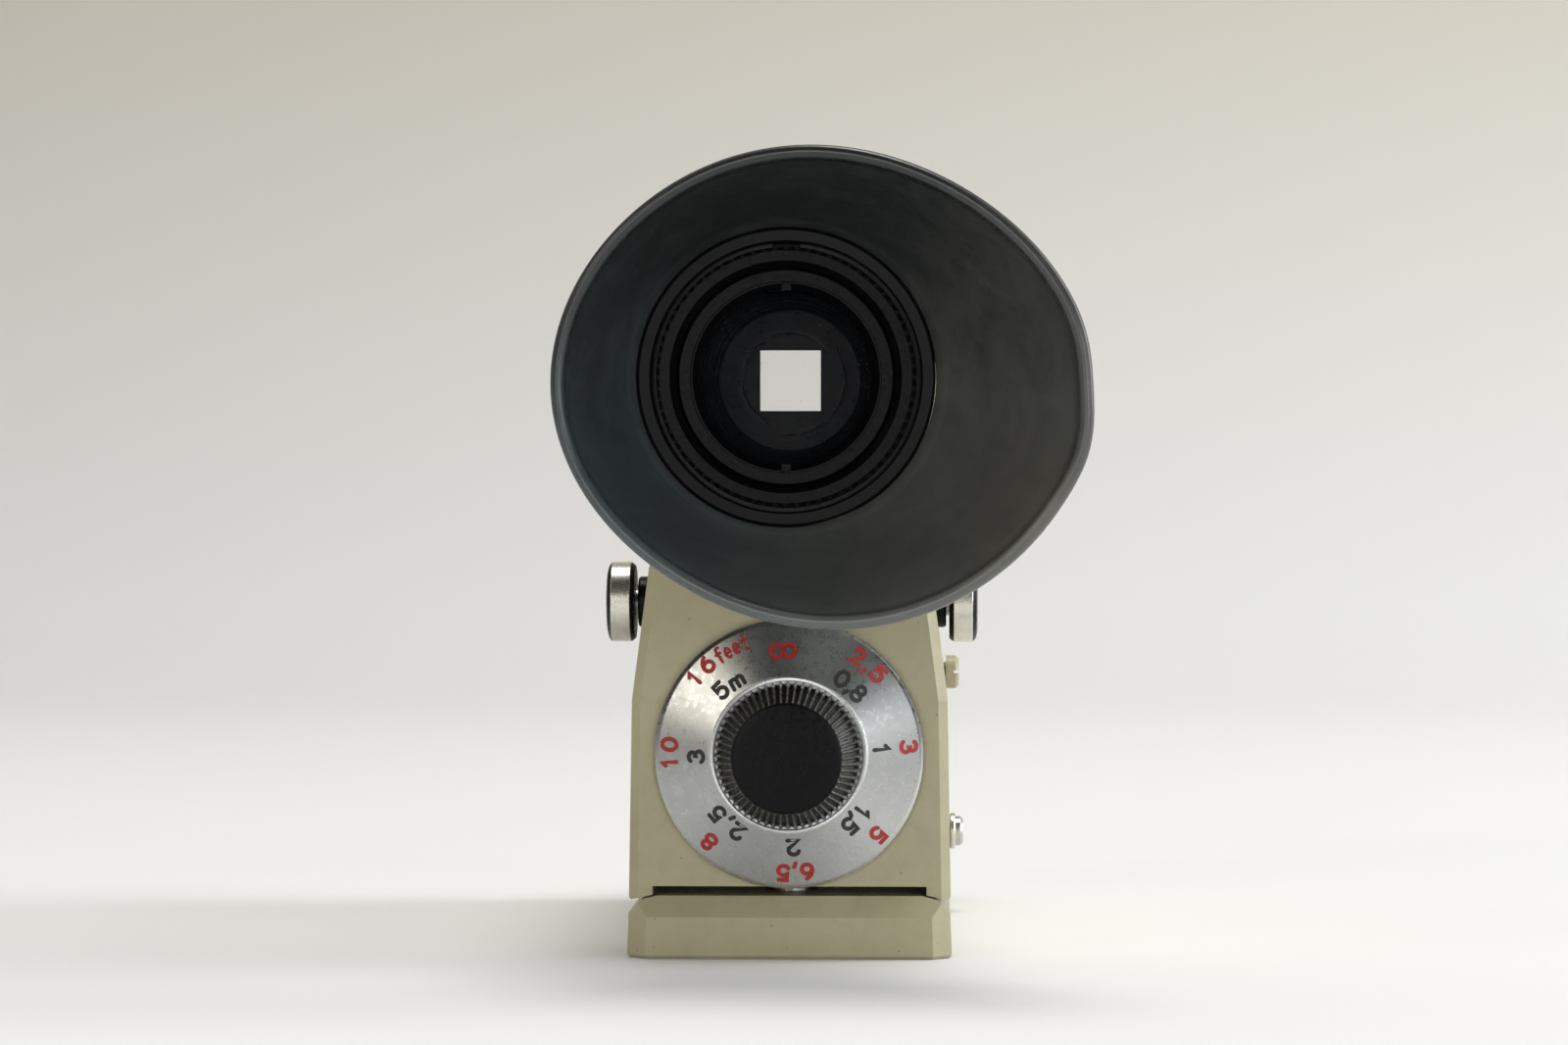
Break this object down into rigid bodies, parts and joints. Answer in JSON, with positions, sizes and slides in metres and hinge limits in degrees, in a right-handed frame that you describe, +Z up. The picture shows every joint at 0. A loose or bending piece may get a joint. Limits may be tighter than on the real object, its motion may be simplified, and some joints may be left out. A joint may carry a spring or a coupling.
{
  "type": "optical viewfinder",
  "caption": "Shoe-mounted optical viewfinder: cast housing on a dovetail foot, rubber eyecup, dioptre eyepiece, distance dial that tilts it for parallax, and side knobs that move a lens.",
  "frame": {"origin": "centre of the foot's underside, on the mouth plane of its dovetail channel", "axes": "+Y is the viewing direction, from the eyepiece towards the subject; +X is to the user's right; +Z is up"},
  "size_m": [0.0552, 0.1176, 0.0854],
  "materials": {
    "enamel": "eggshell grey-beige enamel over cast light alloy",
    "black_enamel": "satin black enamel on turned light alloy",
    "black_anodised": "matt black anodised",
    "turned_aluminium": "fine-turned satin with engraved figures",
    "bright_aluminium": "polished, slightly yellowed lacquer",
    "brass": "machined",
    "steel": "ground",
    "screw_steel": "nickel plated",
    "spring_steel": "oiled spring steel",
    "black_steel": "blackened",
    "optical_glass": "coated and polished",
    "knob_black": "moulded, half-gloss",
    "rubber": "moulded, dusty"
  },
  "bodies": {
    "foot": {"foot_block": "enamel", "shoe_spring": "spring_steel", "shoe_spring_screws": "screw_steel", "pivot_bracket": "steel", "bracket_screws": "screw_steel", "cam_follower": "steel", "spring_post": "brass", "return_spring": "spring_steel", "pivot_screw_left": "screw_steel", "pivot_screw_right": "screw_steel", "pivot_collars": "bright_aluminium"},
    "housing": {"housing_shell": "enamel", "index_pin": "black_enamel", "front_cover": "enamel", "cover_screws": "screw_steel", "flank_screws": "enamel", "spring_anchor": "steel", "shaft_bush_left": "black_anodised", "shaft_bush_right": "black_anodised", "guide_rod_left": "steel", "guide_rod_right": "steel", "dial_bush": "brass", "click_ball": "steel", "click_spring": "spring_steel", "click_screw": "screw_steel", "eyepiece_barrel": "black_enamel", "cell_key": "screw_steel", "ring_circlip": "black_steel", "baffle_tube": "black_anodised", "mask_holder": "black_anodised", "field_mask": "black_anodised", "mask_glass": "optical_glass", "objective_bezel": "black_anodised", "objective_lens": "optical_glass", "objective_retainer": "black_anodised"},
    "dial": {"dial_scale": "turned_aluminium", "dial_knob": "knob_black", "dial_washer": "spring_steel", "dial_shaft": "steel", "parallax_cam": "brass", "cam_nut": "screw_steel"},
    "knob_shaft": {"cross_shaft": "steel", "drive_pinion": "brass", "pinion_pin": "steel", "knob_left": "knob_black", "knob_right": "knob_black", "knob_left_band": "bright_aluminium", "knob_right_band": "bright_aluminium", "knob_screws": "screw_steel"},
    "carriage": {"lens_carriage": "black_anodised", "carriage_lens": "optical_glass", "carriage_retainer": "black_anodised", "drive_rack": "brass", "rack_screws": "screw_steel"},
    "dioptre_ring": {"dioptre_ring": "black_anodised"},
    "ocular": {"ocular_cell": "black_anodised", "ocular_lens": "optical_glass", "ocular_retainer": "black_anodised"},
    "eyecup": {"eyecup": "rubber"}
  },
  "joints": [
    {"name": "parallax_tilt", "type": "hinge", "parent": "foot", "child": "housing", "pos_m": [0, 0.022, 0.0096], "axis": [-1, 0, 0], "range_deg": [0, 7], "deforming": ["return_spring"]},
    {"name": "dial_turn", "type": "hinge", "parent": "housing", "child": "dial", "pos_m": [0, -0.035, 0.0221], "axis": [0, 1, 0], "range_deg": [0, 315]},
    {"name": "knob_turn", "type": "hinge", "parent": "housing", "child": "knob_shaft", "pos_m": [0, -0.022, 0.0382], "axis": [-1, 0, 0], "range_deg": [-54.5, 54.5]},
    {"name": "carriage_slide", "type": "slide", "parent": "housing", "child": "carriage", "axis": [0, 1, 0], "range_m": [-0.0038, 0.0038]},
    {"name": "dioptre_turn", "type": "hinge", "parent": "housing", "child": "dioptre_ring", "pos_m": [0, -0.044, 0.0625], "axis": [0, 1, 0], "range_deg": [-90.1, 90.1]},
    {"name": "ocular_slide", "type": "slide", "parent": "housing", "child": "ocular", "axis": [0, 1, 0], "range_m": [-0.00075, 0.00075]},
    {"name": "eyecup_turn", "type": "hinge", "parent": "housing", "child": "eyecup", "pos_m": [0, -0.041, 0.0625], "axis": [0, 1, 0], "continuous": true}
  ],
  "couplings": [
    {"joint": "parallax_tilt", "follows": "dial_turn", "ratio": 0.0222},
    {"joint": "knob_turn", "follows": "carriage_slide", "rad_per_m": 250},
    {"joint": "dioptre_turn", "follows": "ocular_slide", "rad_per_m": 2094.4}
  ]
}
